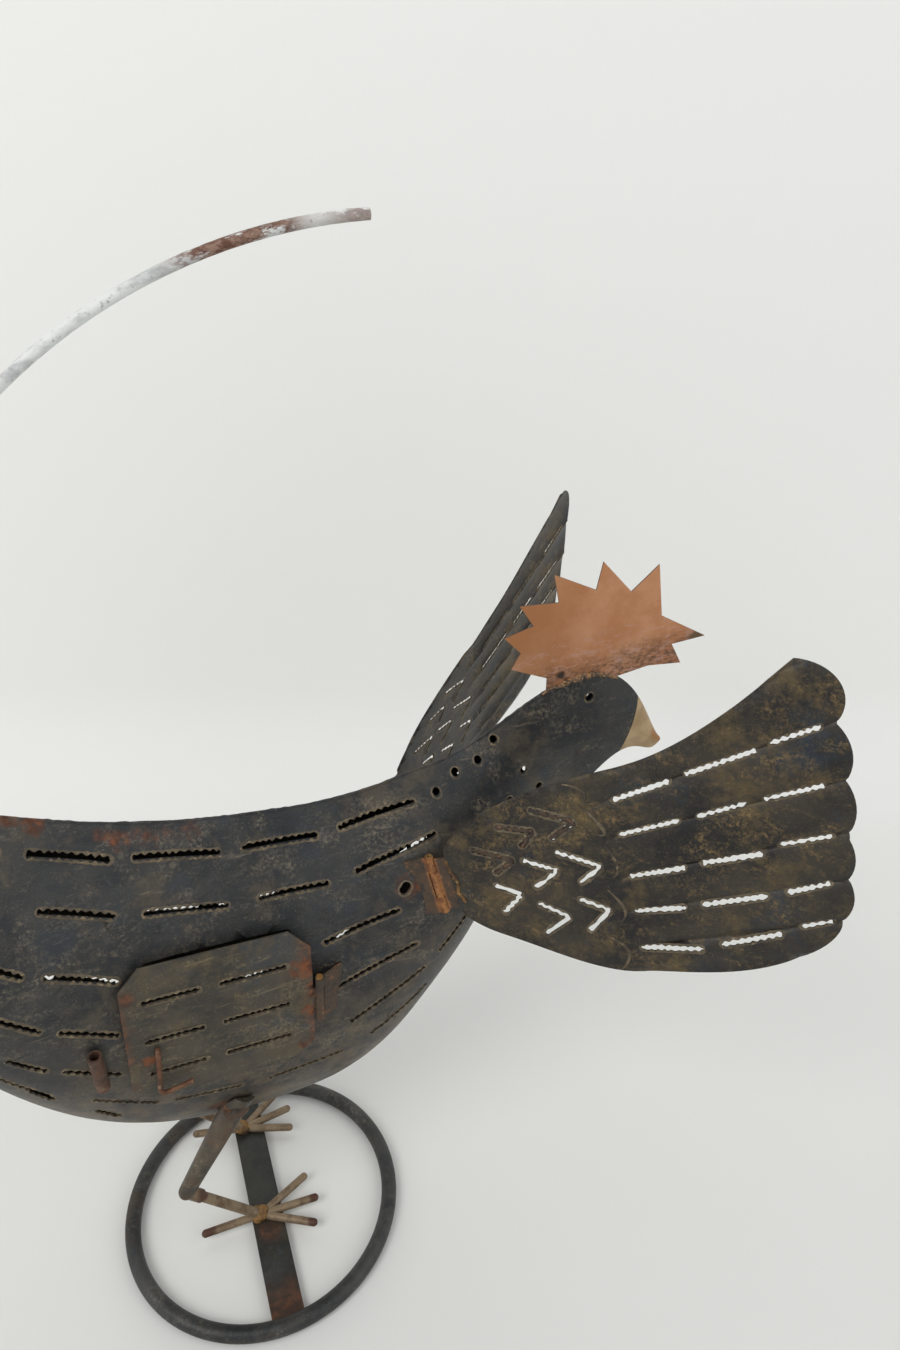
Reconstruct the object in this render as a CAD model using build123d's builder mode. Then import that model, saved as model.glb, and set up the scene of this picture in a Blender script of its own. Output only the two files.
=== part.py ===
"""Sheet-steel rooster with hinged wings and a hinged side door, standing on a ring foot.

Millimetres. Origin at the centre of the ring foot, on the ground. +X towards the beak, +Z up.
"""

from build123d import *
import os
from math import cos, radians, sin, sqrt

# Ring foot
ring_diameter = 228.6
ring_rod = 12.7
bar_width = 25.4
bar_thickness = 6.35

# Sheets
flank_sheet = 1.5
wing_sheet = 1.2
door_sheet = 1.5
comb_sheet = 1.0
kerf = 3.4

# Rooster's middle plane and legs
middle_y = 26.0
leg_spread = 85.0
foot_x = -5.0
hock_x = -58.0
hock_z = 72.0
hip_x = -14.0
hip_z = 150.0
thigh_top_diameter = 19.0
thigh_diameter = 12.6
shin_diameter = 8.0
hock_collar = 9.0
shin_collar = 10.4
foot_braze = 7.2
hip_weld = 12.5
thigh_tuck = 13.0
weld_gap = 0.5
toe_diameter = 6.35
toe_sink = 0.2
right_toes = (46.0, (26.0, -2.0, -29.0), 180.0)
left_toes = (42.0, (36.0, 8.0, -19.0), 167.0)

# Hinges
barrel_diameter = 6.0
pin_diameter = 3.0
running_gap = 0.08
knuckle_gap = 0.3
leaf_sheet = 1.5

# Wings: hinge axis and the way the right wing points
wing_hinge = (151.6, -27.8, 336.8)
wing_axis = (-0.171, 0.340, 0.925)
wing_outward = (0.774, -0.535, 0.340)
wing_barrel = (-22.0, 22.0)
wing_knuckle = (-10.0, 10.0)
wing_root = 12.0
shoulder_way = (-0.87, 0.50, 0.0)
shoulder_reach = 22.0

# Right wing outline from the hinge: leading edge, feather tips with the notches between, trailing edge
wing_leading = (
    (12.0, 25.4), (27.3, 39.6), (61.3, 54.0), (109.1, 63.8), (161.9, 70.4), (227.8, 96.1), (268.0, 118.3),
)
wing_tips = (
    ((288.4, 96.9), (283.3, 73.8)),
    ((286.9, 57.0), (282.5, 36.4)),
    ((282.8, 17.0), (276.7, -1.7)),
    ((276.5, -16.0), (272.8, -28.1)),
    ((270.5, -46.0), (259.8, -63.8)),
)
wing_trailing = (
    (259.8, -63.8), (242.5, -76.9), (212.8, -87.3), (178.3, -89.2), (144.3, -85.8),
    (109.0, -79.1), (47.4, -49.5), (18.3, -31.2), (12.0, -22.4),
)

# Wing slots, root to tip in five rows, and the chevrons: tip, then the two arm ends
wing_slots = (
    ((138, 45), (178, 53)), ((188, 56), (234, 65)), ((243, 68), (275, 74)),
    ((137, 20), (178, 25)), ((189, 26), (221, 31)), ((232, 32), (270, 36)),
    ((137, -11), (174, -9)), ((185, -7), (224, -5)), ((235, 0), (269, 2)),
    ((134, -37), (168, -38)), ((179, -37), (221, -35)), ((233, -34), (262, -30)),
    ((132, -65), (173, -69)), ((185, -67), (225, -63)), ((237, -59), (259, -57)),
)
wing_chevrons = (
    ((110, 34), (82, 47), (91, 24)), ((81, 31), (55, 38), (69, 21)), ((61, 12), (33, 23), (45, 3)),
    ((120, -1), (92, 14), (103, -11)), ((90, 0), (67, 11), (71, -11)), ((60, -15), (42, -6), (43, -28)),
    ((118, -34), (99, -23), (100, -48)), ((89, -36), (70, -23), (69, -47)),
)

# Door
door_hinge = (58.5, -40.0, 272.7)
door_yaw = 2.0
door_lean = 3.0
door_width = 127.0
door_height = 114.3
door_corner = 14.0
door_bow = 300.0
door_crown = -17.7
door_hinge_gap = 4.3
door_barrel = (-22.0, 18.0)
door_knuckle = (-11.0, 8.0)
door_leaf_angle = 25.0
door_leaf_reach = 20.0
handle_wire = 3.5
handle_bend = 4.0
handle_points = ((-112.0, -8.0, -0.8), (-112.0, -8.0, 4.0), (-114.0, -48.0, 4.0), (-91.5, -43.0, 4.0))

# Door opening in the right flank: low rear corner and high front corner, before it is turned with the slots
opening_low = (-58.0, 224.0)
opening_high = (42.0, 327.0)
opening_turn = -5.0

# Keeper tube
keeper_centre = (-91.8, -44.7, 266.0)
keeper_lean = 4.4
keeper_length = 34.0
keeper_diameter = 9.5
keeper_bore = 6.5

# Tail rod
tail_rod_diameter = 6.5
tail_root = (-282.0, 516.0)
tail_bend = (-61.0, 692.0)
tail_tip = (136.0, 765.0)

# Comb outline, and the line of braze on the crown
comb_points = (
    (257, 456), (241, 463), (228, 469), (235, 481), (222, 495), (244, 501), (233, 518),
    (263, 516), (258, 538), (292, 521), (296, 542), (321, 515), (342, 533), (349, 491),
    (390, 467), (361, 465), (371, 447), (342, 450), (316, 446), (316, 436), (257, 440),
)
crown_points = ((250.0, 443.0), (270.0, 450.5), (290.0, 454.5), (316.0, 449.0))
crown_bead = 3.0

# Hull ribs: distance along the body, height of the ridge, height of the keel, half width
ribs = (
    (-285.0, 521.0, 470.0, 8.0),
    (-240.0, 498.0, 366.0, 38.0),
    (-190.0, 469.0, 262.0, 60.0),
    (-130.0, 439.0, 160.0, 68.0),
    (-60.0, 412.0, 108.0, 65.0),
    (10.0, 397.0, 96.0, 62.0),
    (80.0, 391.0, 105.0, 60.0),
    (130.0, 395.0, 148.0, 60.0),
    (170.0, 403.0, 202.0, 52.0),
    (210.0, 419.0, 254.0, 32.0),
    (250.0, 443.0, 300.0, 13.0),
    (290.0, 454.0, 345.0, 6.0),
    (316.0, 446.0, 370.0, 5.0),
    (341.0, 417.0, 376.0, 4.0),
    (361.0, 381.0, 377.0, 1.6),
)

# Beak joint: top and bottom of the line where the brass tip starts
beak_top = (335.0, 417.0)
beak_bottom = (325.0, 374.0)

# Slot rows of a flank: share of the height down from the ridge, then each slot's start and end
slot_rows = (
    (0.062, ((-238, -196), (-180, -121), (-107, -59), (-46, 9), (24, 77), (92, 148))),
    (0.163, ((-246, -206), (-190, -140), (-106, -63), (-46, 8), (28, 78), (97, 158))),
    (0.300, ((-234, -190), (-176, -121), (-110, -68), (-50, 0), (14, 54), (67, 124))),
    (0.440, ((-214, -172), (-160, -119), (-109, -75), (-60, -8), (6, 52), (66, 135))),
    (0.570, ((-192, -152), (-142, -122), (-113, -79), (-66, -14), (0, 66), (80, 140), (152, 178))),
    (0.695, ((-170, -126), (-102, -61), (-50, -2), (17, 74), (97, 143))),
)
door_slot_rows = (32.0, 0.0, -30.5)
door_slots = ((-119.0, -80.0), (-67.0, -21.0))
neck_holes = (
    (165, 388), (182, 397), (200, 403), (214, 415),
    (184, 357), (201, 366), (220, 371), (234, 390), (249, 370),
)
keel_slots = (((-136.6, 254.5), (-124.7, 235.4)), ((-102.9, 208.7), (-88.7, 188.4)))
keel_kerf = 5.4
burnt_hole = ((127.0, 330.0), (133.0, 337.0))
burnt_width = 6.0
neck_hole_diameter = 5.0
eye = (292.0, 434.0)
eye_diameter = 6.0

middle = Plane.XZ.offset(-middle_y)
ring_radius = (ring_diameter - ring_rod) / 2


def rib_section(x, ridge, keel, half_width, skin):
    """Draws one lens-shaped rib: two arcs that meet at the ridge and the keel, set in by the skin."""
    half_height = (ridge - keel) / 2
    centre_z = (ridge + keel) / 2
    radius = (half_height**2 + half_width**2) / (2 * half_width)
    setback = radius - half_width
    tip = sqrt((radius - skin) ** 2 - setback**2)
    side = half_width - skin
    top = (middle_y, centre_z + tip)
    bottom = (middle_y, centre_z - tip)
    with BuildSketch(Plane.YZ.offset(x)) as rib:
        with BuildLine():
            ThreePointArc(top, (middle_y - side, centre_z), bottom)
            ThreePointArc(bottom, (middle_y + side, centre_z), top)
        make_face()
    return rib.sketch


def hull(skin, chosen_ribs):
    """Lofts the ribs to the closed form of the body, neck and head."""
    sections = [rib_section(*rib, skin) for rib in chosen_ribs]
    with BuildPart() as body:
        loft(sections)
    return body.part


def rod(start, end, radius):
    """Makes a round rod between two points."""
    run = Vector(*end) - Vector(*start)
    with BuildPart() as piece:
        with BuildSketch(Plane(origin=start, z_dir=run)):
            Circle(radius)
        extrude(amount=run.length)
    return piece.part


def ball(centre, radius):
    """Makes a ball at a point."""
    with BuildPart() as piece:
        with Locations(centre):
            Sphere(radius)
    return piece.part


def swept(path, radius):
    """Runs a round bar along a line."""
    with BuildPart() as piece:
        with BuildSketch(Plane(origin=path @ 0, z_dir=path % 0)):
            Circle(radius)
        sweep(path=path)
    return piece.part


def largest(part):
    """Keeps the largest solid of a piece."""
    return Part(part.solids().sort_by(SortBy.VOLUME)[-1].wrapped)


def mirrored(part):
    """Copies a right-hand piece to the left side of the rooster."""
    return mirror(part, about=Plane.XZ.offset(-middle_y))


def save(part, label):
    """Labels a piece and writes it."""
    part.label = label
    export_step(part, f"parts/{label}.step")


os.makedirs("parts", exist_ok=True)

# ---------------------------------------------------------------- ring foot

with BuildPart() as base_ring:
    with Locations((0, 0, ring_rod / 2)):
        Torus(ring_radius, ring_rod / 2)

bar_reach = ring_radius - 0.31 * ring_rod
with BuildPart() as base_bar:
    with Locations((0, 0, bar_thickness / 2)):
        Box(bar_width, 2 * bar_reach, bar_thickness)
    add(base_ring.part, mode=Mode.SUBTRACT)

save(base_ring.part, "base_ring")
save(base_bar.part, "base_bar")

# ---------------------------------------------------------------- body

outer_hull = hull(0.0, ribs)
inner_hull = hull(flank_sheet, ribs[:-1])


def rib_value(x, column):
    """Reads a rib value between two ribs."""
    for low, high in zip(ribs, ribs[1:]):
        if low[0] <= x <= high[0]:
            share = (x - low[0]) / (high[0] - low[0])
            return low[column] + share * (high[column] - low[column])
    return ribs[-1][column]


def row_height(x, share):
    """Height of a slot row at a place along the body."""
    ridge = rib_value(x, 1)
    keel = rib_value(x, 2)
    return ridge - share * (ridge - keel)


def slot_between(start, end, width):
    """Places one round-ended slot between two points of the sketch."""
    run = Vector(*end) - Vector(*start)
    centre = (Vector(*start) + Vector(*end)) / 2
    turn = Vector(1, 0, 0).get_signed_angle(run, Vector(0, 0, 1))
    with Locations(Location((centre.X, centre.Y, 0), (0, 0, turn))):
        SlotOverall(run.length, width)


def behind_door(start, end, share):
    """Tells whether a flank slot would fall in the door opening."""
    height = row_height((start + end) / 2, share)
    return end > opening_low[0] and start < opening_high[0] and opening_low[1] < height < opening_high[1]


def flank_cuts(has_door):
    """Draws the slots and holes of one flank."""
    with BuildSketch(middle) as cuts:
        for share, slots in slot_rows:
            for start, end in slots:
                if not (has_door and behind_door(start, end, share)):
                    slot_between((start, row_height(start, share)), (end, row_height(end, share)), kerf)
        for start, end in keel_slots:
            slot_between(start, end, keel_kerf)
        if has_door:
            slot_between(*burnt_hole, burnt_width)
        with Locations(*neck_holes):
            Circle(neck_hole_diameter / 2)
        with Locations(eye):
            Circle(eye_diameter / 2)
    return cuts.sketch


def flank(has_door, way, keep):
    """Makes one flank: the shell on one side of the middle plane."""
    with BuildPart() as shell:
        add(outer_hull)
        add(inner_hull, mode=Mode.SUBTRACT)
        split(bisect_by=beak_plane, keep=Keep.BOTTOM)
        split(bisect_by=middle, keep=keep)
        extrude(flank_cuts(has_door), amount=100, dir=(0, way, 0), mode=Mode.SUBTRACT)
        if has_door:
            extrude(door_opening, amount=100, dir=(0, way, 0), mode=Mode.SUBTRACT)
    return shell.part


beak_run = Vector(beak_top[0] - beak_bottom[0], 0, beak_top[1] - beak_bottom[1])
beak_plane = Plane(origin=(beak_bottom[0], middle_y, beak_bottom[1]), z_dir=Vector(0, 1, 0).cross(beak_run))

opening_size = Vector(*opening_high) - Vector(*opening_low)
opening_centre = Vector(*opening_low) + opening_size / 2
with BuildSketch(middle) as opening:
    with Locations(Location(opening_centre, (0, 0, opening_turn))):
        RectangleRounded(opening_size.X, opening_size.Y, 3.0)

door_opening = opening.sketch
save(flank(True, -1, Keep.TOP), "right_flank")
save(flank(False, 1, Keep.BOTTOM), "left_flank")

with BuildPart() as beak:
    add(outer_hull)
    split(bisect_by=beak_plane, keep=Keep.TOP)

save(beak.part, "beak")

# ---------------------------------------------------------------- comb and tail

with BuildPart() as comb:
    with BuildSketch(middle):
        with BuildLine():
            Polyline(*comb_points, close=True)
        make_face()
    extrude(amount=comb_sheet / 2, both=True)
    add(outer_hull, mode=Mode.SUBTRACT)

with BuildLine(middle) as crown_line:
    FilletPolyline(*crown_points, radius=40)

with BuildLine(middle) as tail_line:
    tail_straight = Line(tail_root, tail_bend)
    TangentArc(tail_bend, tail_tip, tangent=tail_straight % 1)

comb_braze = swept(crown_line.line, crown_bead) - outer_hull - comb.part
tail_start = Vector(tail_root[0], middle_y, tail_root[1])
tail_rod = swept(tail_line.line, tail_rod_diameter / 2) - outer_hull
tail_braze = ball(tail_start + Vector(3, 0, 4), tail_rod_diameter) - outer_hull - tail_rod

save(comb.part, "comb")
save(comb_braze, "comb_braze")
save(tail_rod, "tail_rod")
save(tail_braze, "tail_braze")

# ---------------------------------------------------------------- legs


def toes(foot, length, angles):
    """Makes round-ended toes that lie on the bar."""
    radius = toe_diameter / 2
    with BuildPart() as group:
        for angle in angles:
            tip = foot + Vector(length, 0, 0).rotate(Axis.Z, angle)
            add(rod(foot, tip, radius))
            add(ball(tip, radius))
    return group.part


def thigh_at(hock, run, belly):
    """Makes one tapering thigh, rounded at the hock and cut off flat along the belly."""
    low = thigh_diameter / 2
    length = (belly.origin - hock).length + thigh_tuck
    high = low + (thigh_top_diameter / 2 - low) * length / run.length
    with BuildPart() as piece:
        with BuildSketch(Plane(origin=hock, x_dir=(0, 1, 0), z_dir=Vector(0, 1, 0).cross(run))):
            with BuildLine():
                Polyline((0, -low), (0, length), (high, length), (low, 0))
                RadiusArc((low, 0), (0, -low), low)
            make_face()
        revolve(axis=Axis(hock, run))
        split(bisect_by=belly.offset(weld_gap), keep=Keep.TOP)
    return piece.part


def leg(side, y, foot_pattern):
    """Makes and saves one leg with its foot and the blobs of braze and weld that hold it."""
    length, angles, back_angle = foot_pattern
    foot = Vector(foot_x, y, foot_z)
    hock = Vector(hock_x, y, hock_z)
    down = (foot - hock).normalized()
    front = toes(foot, length, angles) - base_bar.part
    back = toes(foot, length, (back_angle,)) - front - base_bar.part
    run = Vector(hip_x, y, hip_z) - hock
    crossing, normal = min(outer_hull.find_intersection_points(Axis(hock, run)), key=lambda hit: hit[0].Z)
    belly = Plane(origin=crossing, z_dir=normal)
    thigh = thigh_at(hock, run, belly)
    collar_end = hock + down * (thigh_diameter / 2 + hock_collar)
    shin = rod(hock, foot, shin_diameter / 2) + rod(hock, collar_end, shin_collar / 2)
    shin = shin - thigh - front - back
    braze = largest(ball(foot + Vector(0, 0, 1), foot_braze) - front - back - shin - base_bar.part)
    weld = ball(crossing, hip_weld) - outer_hull - thigh
    save(thigh, side + "_thigh")
    save(shin, side + "_shin")
    save(front, side + "_front_toes")
    save(back, side + "_back_toe")
    save(braze, side + "_foot_braze")
    save(weld, side + "_hip_weld")


foot_z = bar_thickness + toe_diameter / 2 - toe_sink
leg("right", middle_y - leg_spread / 2, right_toes)
leg("left", middle_y + leg_spread / 2, left_toes)

# ---------------------------------------------------------------- hinges


def knuckle(plane, low, high, bore):
    """Makes one knuckle: a tube along the plane's Y."""
    with BuildPart() as tube:
        with BuildSketch(Plane(origin=plane.from_local_coords((0, low, 0)), z_dir=plane.y_dir)):
            Circle(barrel_diameter / 2)
            Circle(bore / 2, mode=Mode.SUBTRACT)
        extrude(amount=high - low)
    return tube.part


def plate(plane, x_range, y_range, z_range):
    """Makes a flat plate between limits in the plane's own coordinates."""
    size = [high - low for low, high in (x_range, y_range, z_range)]
    centre = [(high + low) / 2 for low, high in (x_range, y_range, z_range)]
    with BuildPart() as flat:
        with BuildSketch(plane.offset(centre[2])):
            with Locations((centre[0], centre[1])):
                Rectangle(size[0], size[1])
        extrude(amount=size[2] / 2, both=True)
    return flat.part


def bore_along(plane, barrel, diameter):
    """Makes the cutter for a bore right through a barrel."""
    low = plane.from_local_coords((0, barrel[0] - 1, 0))
    high = plane.from_local_coords((0, barrel[1] + 1, 0))
    return rod(low, high, diameter / 2)


def hinge_pin(plane, barrel):
    """Makes the pin, with a small head on the upper knuckle."""
    low = plane.from_local_coords((0, barrel[0] - 1, 0))
    high = plane.from_local_coords((0, barrel[1], 0))
    head = plane.from_local_coords((0, barrel[1] + pin_diameter / 2, 0))
    return rod(low, high, pin_diameter / 2) + rod(high, head, pin_diameter * 0.8)


def fixed_leaf(plane, leaf_way, reach, barrel, gap):
    """Makes the leaf on the body: the two outer knuckles and the plate that runs to the flank."""
    leaf_plane = Plane(origin=plane.origin, x_dir=leaf_way, z_dir=Vector(*leaf_way).cross(plane.y_dir))
    clear = barrel_diameter / 2 + 2 * knuckle_gap
    across = (-leaf_sheet / 2, leaf_sheet / 2)
    leaf = plate(leaf_plane, (clear, reach), barrel, across)
    for low, high in ((barrel[0], gap[0]), (gap[1], barrel[1])):
        leaf = leaf + knuckle(plane, low, high, pin_diameter)
        leaf = leaf + plate(leaf_plane, (0, clear), (low, high), across)
    return leaf - bore_along(plane, barrel, pin_diameter) - outer_hull


def moving_leaf(plane, edge, gap, across):
    """Makes the leaf on the moving sheet: the middle knuckle and the tongue to the sheet's edge."""
    bore = pin_diameter + 2 * running_gap
    span = (gap[0] + knuckle_gap, gap[1] - knuckle_gap)
    tongue = plate(plane, sorted((0, edge)), span, across)
    return knuckle(plane, *span, bore) + tongue - bore_along(plane, gap, bore)


# ---------------------------------------------------------------- door

turn = radians(door_yaw)
lean = radians(door_lean)
door_outward = Vector(sin(turn), -cos(turn), 0)
door_forward = Vector(cos(turn) * cos(lean), sin(turn) * cos(lean), -sin(lean))
door_plane = Plane(origin=door_hinge, x_dir=door_forward, z_dir=door_outward)
door_edge = -door_hinge_gap
door_far = door_edge - door_width
door_middle = (door_edge + door_far) / 2

with BuildSketch(door_plane) as door_cuts:
    for row in door_slot_rows:
        for start, end in door_slots:
            slot_between((start, row), (end, row), kerf)

bow_centre = door_plane.from_local_coords((door_far, door_crown, -door_bow))
bow_plane = Plane(origin=bow_centre, z_dir=door_plane.x_dir)
with BuildPart() as door:
    with BuildSketch(bow_plane):
        Circle(door_bow)
        Circle(door_bow - door_sheet, mode=Mode.SUBTRACT)
    extrude(amount=door_width)
    with BuildSketch(door_plane.offset(-door_corner)) as outline:
        with Locations((door_middle, 0)):
            Rectangle(door_width, door_height)
        chamfer(outline.vertices(), door_corner)
    extrude(amount=door_corner + 1, mode=Mode.INTERSECT)
    extrude(door_cuts.sketch, amount=door_corner, both=True, mode=Mode.SUBTRACT)

with BuildLine(door_plane) as handle_line:
    FilletPolyline(*handle_points, radius=handle_bend)

leaf_turn = radians(door_leaf_angle)
door_leaf_way = door_plane.x_dir * cos(leaf_turn) - door_plane.z_dir * sin(leaf_turn)

save(door.part, "door")
save(swept(handle_line.line, handle_wire / 2) - door.part, "door_handle")
save(fixed_leaf(door_plane, door_leaf_way, door_leaf_reach, door_barrel, door_knuckle), "door_body_leaf")
save(moving_leaf(door_plane, door_edge, door_knuckle, (-2.0, -0.5)), "door_leaf")
save(hinge_pin(door_plane, door_barrel), "door_hinge_pin")

# ---------------------------------------------------------------- keeper tube on the flank

tilt = radians(keeper_lean)
keeper_axis = Vector(0, -sin(tilt), cos(tilt))
keeper_low = Vector(*keeper_centre) - keeper_axis * (keeper_length / 2)
keeper_high = Vector(*keeper_centre) + keeper_axis * (keeper_length / 2)
keeper = rod(keeper_low, keeper_high, keeper_diameter / 2) - rod(keeper_low, keeper_high, keeper_bore / 2)
save(keeper - outer_hull, "keeper_tube")

# ---------------------------------------------------------------- wings

wing_face = Vector(*wing_outward).cross(Vector(*wing_axis))
wing_plane = Plane(origin=wing_hinge, x_dir=wing_outward, z_dir=wing_face)
shoulder = Vector(*shoulder_way) - wing_plane.y_dir * wing_plane.y_dir.dot(Vector(*shoulder_way))
shoulder_leaf = fixed_leaf(wing_plane, shoulder.normalized(), shoulder_reach, wing_barrel, wing_knuckle)

with BuildSketch(wing_plane) as wing_cuts:
    for start, end in wing_slots:
        slot_between(start, end, kerf)
    for tip, upper_end, lower_end in wing_chevrons:
        slot_between(upper_end, tip, kerf)
        slot_between(lower_end, tip, kerf)

with BuildPart() as wing:
    with BuildSketch(wing_plane):
        with BuildLine():
            Spline(*wing_leading)
            here = wing_leading[-1]
            for crest, notch in wing_tips:
                ThreePointArc(here, crest, notch)
                here = notch
            Spline(*wing_trailing)
            Line(wing_trailing[-1], wing_leading[0])
        make_face()
    extrude(amount=wing_sheet / 2, both=True)
    extrude(wing_cuts.sketch, amount=wing_sheet, both=True, mode=Mode.SUBTRACT)

wing_span = (-20.0, 20.0)
thick = (-leaf_sheet / 2, leaf_sheet / 2)
near = barrel_diameter / 2 + 2 * knuckle_gap
wing_leaf = moving_leaf(wing_plane, wing_root, wing_knuckle, thick)
wing_leaf = wing_leaf + plate(wing_plane, (near, wing_root), wing_span, thick)
right_wing_parts = {
    "wing": wing.part,
    "wing_leaf": wing_leaf,
    "shoulder_leaf": shoulder_leaf,
    "wing_pin": hinge_pin(wing_plane, wing_barrel),
}
for label, piece in right_wing_parts.items():
    save(piece, "right_" + label)
    save(mirrored(piece), "left_" + label)
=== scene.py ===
from math import atan2, cos, pi, radians, sin, tau

import bmesh
import bpy
from mathutils import Euler, Matrix, Vector, noise
from mathutils.bvhtree import BVHTree


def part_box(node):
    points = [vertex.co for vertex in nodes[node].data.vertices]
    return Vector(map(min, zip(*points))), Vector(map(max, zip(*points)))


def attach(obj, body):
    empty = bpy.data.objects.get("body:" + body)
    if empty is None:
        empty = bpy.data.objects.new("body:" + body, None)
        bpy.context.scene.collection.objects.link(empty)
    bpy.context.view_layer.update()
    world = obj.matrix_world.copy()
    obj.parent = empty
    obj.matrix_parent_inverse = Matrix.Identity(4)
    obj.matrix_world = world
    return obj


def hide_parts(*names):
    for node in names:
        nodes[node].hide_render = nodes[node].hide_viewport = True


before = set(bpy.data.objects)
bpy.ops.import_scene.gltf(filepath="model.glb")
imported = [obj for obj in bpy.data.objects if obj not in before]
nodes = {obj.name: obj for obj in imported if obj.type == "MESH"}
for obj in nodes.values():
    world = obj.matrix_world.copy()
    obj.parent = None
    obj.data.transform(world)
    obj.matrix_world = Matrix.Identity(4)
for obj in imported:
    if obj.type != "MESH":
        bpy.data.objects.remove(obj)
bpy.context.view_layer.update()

MM = 0.001
BODY = "stand_and_body"
MIDDLE_Y = 0.026
BESIDE_SEAM = 0.0006  # rays at the ridge and keel start this far beside the middle plane
ABOVE_ALL = 0.7  # a height over the whole body, for rays that look down
WELD_GAP = 2e-6
CREASE_ANGLE = radians(38)
RIM_STEP = 0.7 * MM
ROUND_HOLE_RIM = 0.03  # rims shorter than this belong to round holes, which ripple less
HEADING = (0.352, 0.936)  # the way the photograph's camera looks, on the floor
CAMERA_TILT = 29.908
FOCAL_PIXELS = 950.58
PHOTO_HEIGHT = 1350
SENSOR = 36.0
FLOOR_REACH = 3.2
COVE_START = 0.98
COVE_RADIUS = 0.14
COVE_STEPS = 10
WALL_OUT = 1.12
FLOOR_DROP = 0.0003

# ---------------------------------------------------------------- materials


def linear(red, green, blue):
    """Turns an 8-bit display colour into a linear one."""
    channels = []
    for value in (red, green, blue):
        share = value / 255
        channels.append(share / 12.92 if share <= 0.04045 else ((share + 0.055) / 1.055) ** 2.4)
    return (*channels, 1.0)


class Shader:
    """One procedural material, put together from noises and masks in the object's own coordinates."""

    def __init__(self, name):
        self.material = bpy.data.materials.new(name)
        self.material.use_nodes = True
        self.tree = self.material.node_tree
        self.tree.nodes.clear()
        self.bsdf = self.tree.nodes.new("ShaderNodeBsdfPrincipled")
        output = self.tree.nodes.new("ShaderNodeOutputMaterial")
        self.tree.links.new(self.bsdf.outputs[0], output.inputs[0])
        place = self.tree.nodes.new("ShaderNodeTexCoord")
        self.place = place.outputs["Object"]
        self.facing = place.outputs["Normal"]

    def put(self, socket, value):
        if isinstance(value, bpy.types.NodeSocket):
            self.tree.links.new(value, socket)
        else:
            socket.default_value = value

    def math(self, operation, first, second=0.0):
        node = self.tree.nodes.new("ShaderNodeMath")
        node.operation = operation
        node.use_clamp = operation in ("ADD", "SUBTRACT", "MULTIPLY")
        self.put(node.inputs[0], first)
        self.put(node.inputs[1], second)
        return node.outputs[0]

    def noise(self, scale, detail=5.0, roughness=0.6, stretch=(1, 1, 1), shift=0.0, warp=0.0):
        mapping = self.tree.nodes.new("ShaderNodeMapping")
        mapping.inputs["Scale"].default_value = stretch
        mapping.inputs["Location"].default_value = (shift, shift * 0.7, -shift)
        self.put(mapping.inputs["Vector"], self.place)
        node = self.tree.nodes.new("ShaderNodeTexNoise")
        node.inputs["Scale"].default_value = scale
        node.inputs["Detail"].default_value = detail
        node.inputs["Roughness"].default_value = roughness
        node.inputs["Distortion"].default_value = warp
        self.put(node.inputs["Vector"], mapping.outputs[0])
        return node.outputs[0]

    def cells(self, scale, shift=0.0):
        mapping = self.tree.nodes.new("ShaderNodeMapping")
        mapping.inputs["Location"].default_value = (shift, shift, shift)
        self.put(mapping.inputs["Vector"], self.place)
        node = self.tree.nodes.new("ShaderNodeTexVoronoi")
        node.inputs["Scale"].default_value = scale
        self.put(node.inputs["Vector"], mapping.outputs[0])
        return node.outputs[0]

    def band(self, value, low, high):
        """Runs from 0 at low to 1 at high."""
        node = self.tree.nodes.new("ShaderNodeMapRange")
        node.interpolation_type = "SMOOTHSTEP"
        self.put(node.inputs["Value"], value)
        node.inputs["From Min"].default_value = min(low, high)
        node.inputs["From Max"].default_value = max(low, high)
        node.inputs["To Min"].default_value = 0.0 if low < high else 1.0
        node.inputs["To Max"].default_value = 1.0 if low < high else 0.0
        return node.outputs[0]

    def mix(self, share, first, second):
        node = self.tree.nodes.new("ShaderNodeMix")
        node.data_type = "RGBA"
        self.put(node.inputs[0], share)
        self.put(node.inputs[6], first)
        self.put(node.inputs[7], second)
        return node.outputs[2]

    def axis(self, direction):
        """Distance along a direction, in metres."""
        node = self.tree.nodes.new("ShaderNodeVectorMath")
        node.operation = "DOT_PRODUCT"
        self.put(node.inputs[0], self.place)
        node.inputs[1].default_value = direction
        return node.outputs["Value"]

    def near(self, centre, radius, ragged=0.6, shift=0.0):
        """1 at a point, 0 a radius away, with a ragged edge."""
        node = self.tree.nodes.new("ShaderNodeVectorMath")
        node.operation = "DISTANCE"
        self.put(node.inputs[0], self.place)
        node.inputs[1].default_value = centre
        wander = self.math("MULTIPLY", self.noise(0.9 / radius, shift=shift), ragged * radius * 2)
        away = self.math("ADD", node.outputs["Value"], wander)
        return self.band(away, radius * (1 + ragged), radius * (0.45 + ragged))

    def bump(self, height, strength, distance=0.0006, under=None):
        node = self.tree.nodes.new("ShaderNodeBump")
        node.inputs["Strength"].default_value = strength
        node.inputs["Distance"].default_value = distance
        self.put(node.inputs["Height"], height)
        if under is not None:
            self.put(node.inputs["Normal"], under)
        return node.outputs[0]

    def finish(self, colour, rough, metallic=0.0, normal=None, specular=0.5):
        self.put(self.bsdf.inputs["Base Color"], colour)
        self.put(self.bsdf.inputs["Roughness"], rough)
        self.put(self.bsdf.inputs["Metallic"], metallic)
        self.put(self.bsdf.inputs["Specular IOR Level"], specular)
        if normal is not None:
            self.put(self.bsdf.inputs["Normal"], normal)
        return self.material


RUST = linear(126, 76, 48)
DEEP_RUST = linear(80, 52, 40)


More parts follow.
